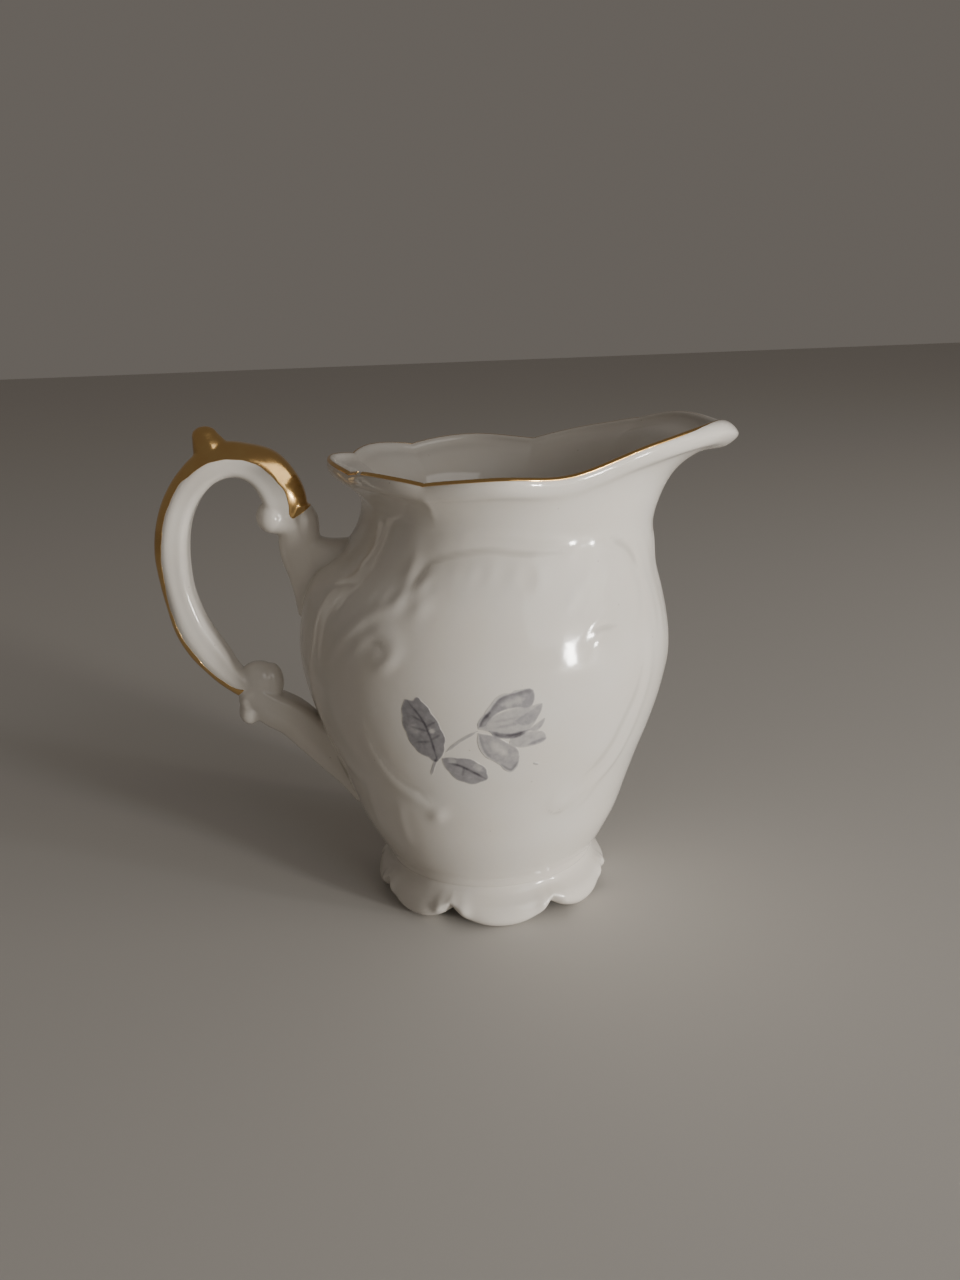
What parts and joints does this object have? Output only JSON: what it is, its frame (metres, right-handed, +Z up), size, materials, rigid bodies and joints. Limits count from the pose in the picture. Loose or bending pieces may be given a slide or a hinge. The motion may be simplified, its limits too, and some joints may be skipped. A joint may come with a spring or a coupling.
{
  "type": "porcelain cream jug",
  "caption": "Small footed pouring jug with a lobed spouted mouth, a gilded scroll handle, a scalloped foot and a printed rose on the belly.",
  "frame": {"origin": "on the table, under the middle of the bounding box", "axes": "+X towards the spout, -X towards the handle, -Y the side seen as the front, +Z up"},
  "size_m": [0.1222, 0.0796, 0.1045],
  "materials": {
    "glazed_porcelain": "gloss",
    "porcelain_slip": "satin",
    "bright_gold": "gloss",
    "grey_print": "gloss"
  },
  "bodies": {
    "root": {"body_shell": "glazed_porcelain", "foot_ring": "glazed_porcelain", "foot_slip_joint": "porcelain_slip", "handle": "glazed_porcelain", "handle_slip_joint_upper": "porcelain_slip", "handle_slip_joint_lower": "porcelain_slip", "rim_gilding": "bright_gold", "handle_gilding": "bright_gold", "rose_transfer_front": "grey_print", "rose_transfer_back": "grey_print"}
  },
  "joints": []
}
